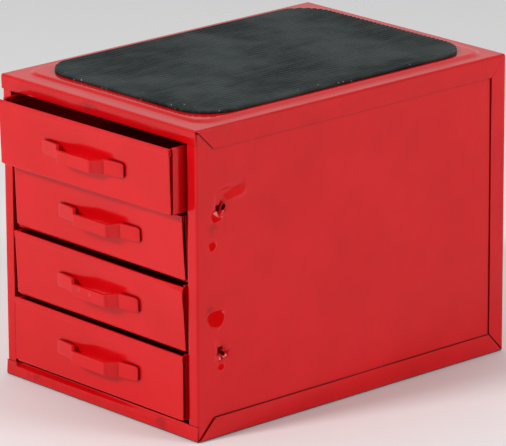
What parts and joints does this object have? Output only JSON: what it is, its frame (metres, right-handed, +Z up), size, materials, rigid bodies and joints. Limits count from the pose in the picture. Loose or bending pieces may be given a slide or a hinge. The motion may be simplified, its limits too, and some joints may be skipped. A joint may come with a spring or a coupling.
{
  "type": "bench drawer cabinet",
  "caption": "Low box cabinet of folded sheet steel that stands on a bench, with sliding drawers in its front, strap pulls and a ribbed rubber mat on its top.",
  "frame": {"origin": "middle of the flat underside of the casing", "axes": "+Z up, drawers face -Y and slide out along -Y, +X to the right of someone who stands before the drawers"},
  "size_m": [0.23, 0.3588, 0.2527],
  "materials": {
    "red_enamel": "glossy red enamel on sheet steel, with light orange peel, grime in the seams and worn edges",
    "black_rubber": "dull black ribbed rubber, greyed by dust"
  },
  "bodies": {
    "cabinet": {"casing_wrapper": "red_enamel", "left_side_panel": "red_enamel", "right_side_panel": "red_enamel", "rubber_mat": "black_rubber", "left_runner_1": "red_enamel", "left_runner_2": "red_enamel", "left_runner_3": "red_enamel", "left_runner_4": "red_enamel", "right_runner_1": "red_enamel", "right_runner_2": "red_enamel", "right_runner_3": "red_enamel", "right_runner_4": "red_enamel"},
    "drawer_1": {"drawer_1_pan": "red_enamel", "drawer_1_pull": "red_enamel"},
    "drawer_2": {"drawer_2_pan": "red_enamel", "drawer_2_pull": "red_enamel"},
    "drawer_3": {"drawer_3_pan": "red_enamel", "drawer_3_pull": "red_enamel"},
    "drawer_4": {"drawer_4_pan": "red_enamel", "drawer_4_pull": "red_enamel"}
  },
  "joints": [
    {"name": "drawer_1_slide", "type": "slide", "parent": "cabinet", "child": "drawer_1", "axis": [0, -1, 0], "range_m": [-0.0158, 0.2092]},
    {"name": "drawer_2_slide", "type": "slide", "parent": "cabinet", "child": "drawer_2", "axis": [0, -1, 0], "range_m": [-0.0012, 0.2238]},
    {"name": "drawer_3_slide", "type": "slide", "parent": "cabinet", "child": "drawer_3", "axis": [0, -1, 0], "range_m": [-0.0015, 0.2235]},
    {"name": "drawer_4_slide", "type": "slide", "parent": "cabinet", "child": "drawer_4", "axis": [0, -1, 0], "range_m": [-0.0048, 0.2202]}
  ]
}
